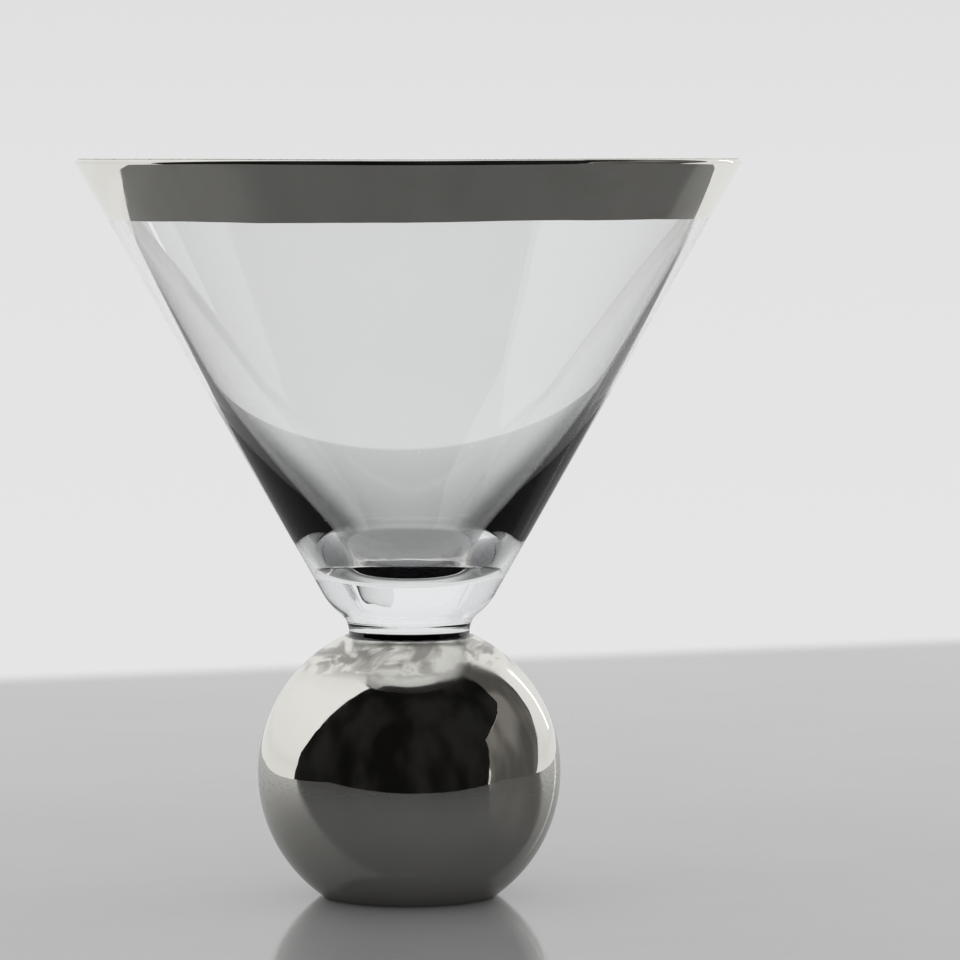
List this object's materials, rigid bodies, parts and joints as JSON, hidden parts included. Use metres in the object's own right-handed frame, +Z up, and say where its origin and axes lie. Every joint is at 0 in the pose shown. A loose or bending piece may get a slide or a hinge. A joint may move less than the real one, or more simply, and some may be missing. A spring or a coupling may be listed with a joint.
{
  "type": "martini glass",
  "caption": "Stemless martini glass: clear conical bowl with a silver-plated lip band, fused on a mirror-plated glass ball that is flat underneath.",
  "frame": {"origin": "centre of the flat underside that the glass stands on", "axes": "+Z up along the glass's axis of symmetry, from the ball foot to the lip; X and Y are free, as the glass is round"},
  "size_m": [0.125, 0.125, 0.1394],
  "materials": {
    "clear_glass": "gloss",
    "silver_film": "gloss"
  },
  "bodies": {
    "root": {"bowl": "clear_glass", "ball": "clear_glass", "ball_plating": "silver_film", "rim_band": "silver_film"}
  },
  "joints": []
}
